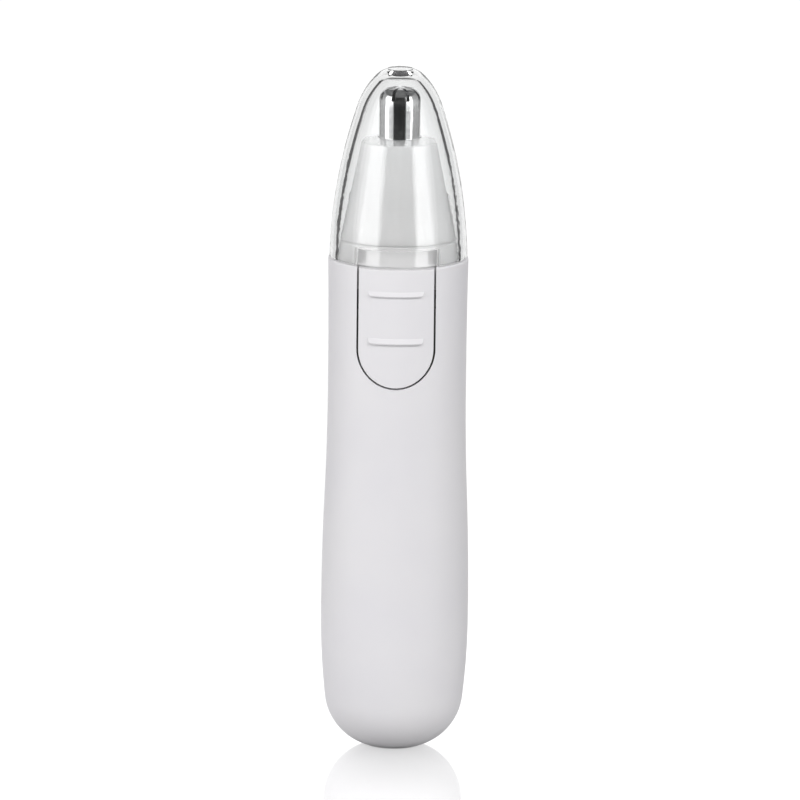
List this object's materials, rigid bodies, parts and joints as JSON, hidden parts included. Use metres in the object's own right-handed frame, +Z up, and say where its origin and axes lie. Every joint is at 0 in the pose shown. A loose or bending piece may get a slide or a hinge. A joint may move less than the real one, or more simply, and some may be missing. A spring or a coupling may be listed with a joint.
{
  "type": "nose hair trimmer",
  "caption": "Upright battery nose hair trimmer: tapered round body with a sliding switch, a domed slotted steel cutter on a white cone, and a clear bullet-shaped cap.",
  "frame": {"origin": "centre of the flat foot that the trimmer stands on", "axes": "+Z up the long axis to the cap's tip, -Y the side with the switch, +Y the battery door"},
  "size_m": [0.0298, 0.0298, 0.1397],
  "materials": {
    "shell_plastic": "satin",
    "clear_plastic": "polished",
    "head_plastic": "gloss",
    "collar_plastic": "gloss",
    "frame_plastic": "matte",
    "coupler_plastic": "matte",
    "felt": "felt",
    "cutter_steel": "polished",
    "blade_steel": "ground",
    "zinc_steel": "zinc plated",
    "spring_steel": "drawn wire",
    "contact_metal": "nickel-plated brass",
    "bronze": "sintered",
    "copper": "enamelled copper wire",
    "ferrite": "ferrite",
    "core_iron": "laminated",
    "battery_sleeve": "shrink film"
  },
  "bodies": {
    "housing": {"front_shell": "shell_plastic", "back_shell": "shell_plastic", "shell_screws": "zinc_steel", "neck_collar": "collar_plastic", "shaft_seal": "felt", "inner_frame": "frame_plastic", "battery_cell": "zinc_steel", "battery_wrap": "battery_sleeve", "battery_spring": "spring_steel", "negative_strip": "contact_metal", "positive_contact": "contact_metal", "motor_strip": "contact_metal", "motor_can": "zinc_steel", "motor_magnets": "ferrite", "motor_end_cap": "frame_plastic", "motor_bush": "bronze", "motor_terminals": "contact_metal", "motor_brushes": "contact_metal"},
    "rotor": {"motor_shaft": "blade_steel", "motor_commutator": "copper", "motor_armature": "core_iron", "motor_windings": "copper", "drive_coupler": "coupler_plastic", "blade_spring": "spring_steel", "blade_holder": "coupler_plastic", "inner_cutter": "blade_steel"},
    "head": {"head_cover": "head_plastic", "cutter_shell": "cutter_steel", "cutter_retainer": "coupler_plastic"},
    "cap": {"clear_cap": "clear_plastic"},
    "switch": {"switch_button": "shell_plastic", "switch_slider": "frame_plastic", "switch_contact": "contact_metal"},
    "door": {"battery_door": "shell_plastic"}
  },
  "joints": [
    {"name": "motor_spin", "type": "hinge", "parent": "housing", "child": "rotor", "pos_m": [0, 0, 0.09], "axis": [0, 0, 1], "continuous": true},
    {"name": "head_lift", "type": "slide", "parent": "housing", "child": "head", "axis": [0, 0, 1], "range_m": [0, 0.036]},
    {"name": "cap_lift", "type": "slide", "parent": "head", "child": "cap", "axis": [0, 0, 1], "range_m": [0, 0.04]},
    {"name": "switch_slide", "type": "slide", "parent": "housing", "child": "switch", "axis": [0, 0, 1], "range_m": [0, 0.0034]},
    {"name": "battery_door_swing", "type": "hinge", "parent": "housing", "child": "door", "pos_m": [0, 0.01245, 0.00575], "axis": [-1, 0, 0], "range_deg": [0, 60]}
  ]
}
